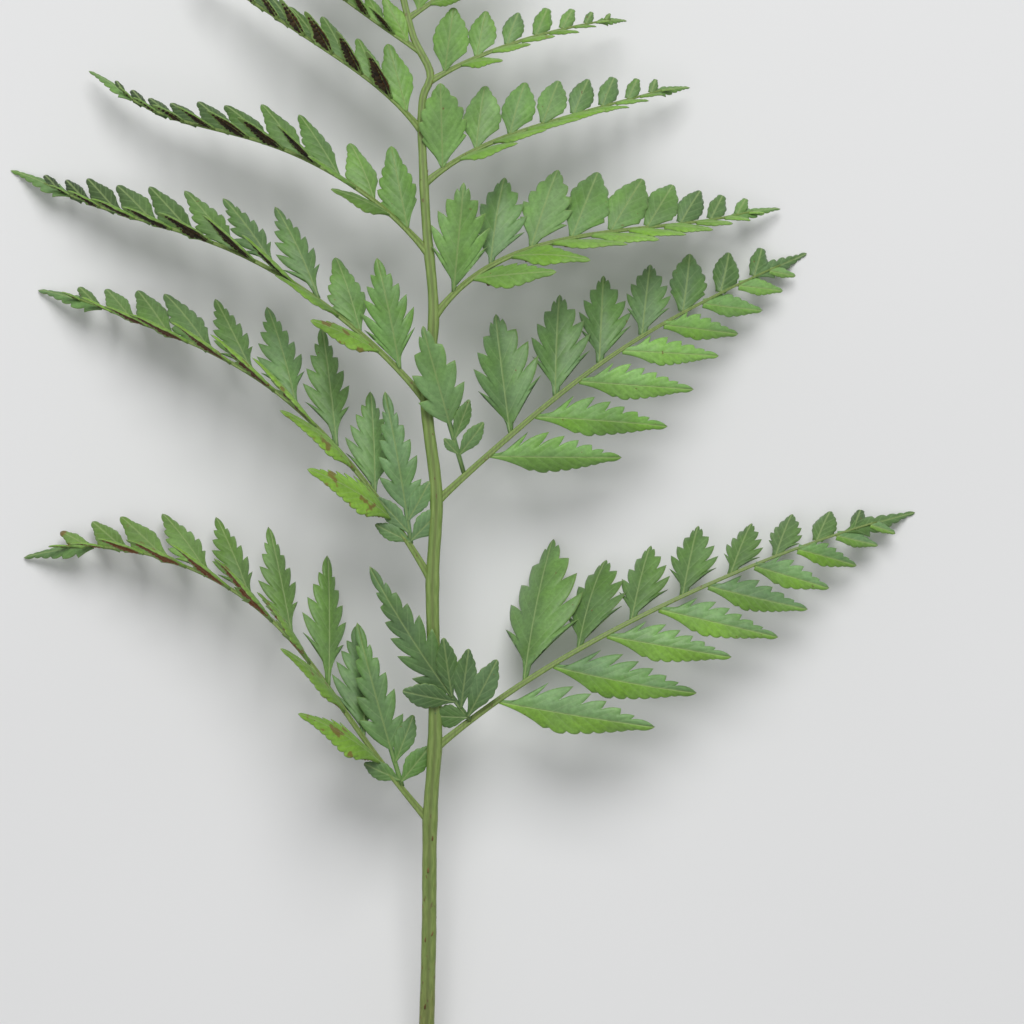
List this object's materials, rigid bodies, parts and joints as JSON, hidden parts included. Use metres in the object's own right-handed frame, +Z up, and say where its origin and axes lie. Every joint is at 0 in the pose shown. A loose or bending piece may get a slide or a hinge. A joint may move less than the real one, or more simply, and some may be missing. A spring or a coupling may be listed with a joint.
{
  "type": "leatherleaf fern frond",
  "caption": "Cut frond of leatherleaf fern lying face up: a long stalk and arched triangular blade of alternate branches, each with two rows of lobed, leathery leaflets",
  "frame": {"origin": "on the table, below the middle of the frond's outline", "axes": "+Z up, away from the table and out of the leaf's upper face; +Y along the frond from the cut end to the tip; +X to the right as seen from above with the tip away"},
  "size_m": [0.2752, 0.4732, 0.0561],
  "materials": {
    "leaf": "satin",
    "stem": "satin",
    "sorus": "matte"
  },
  "bodies": {
    "root": {"frond": "leaf"}
  },
  "joints": []
}
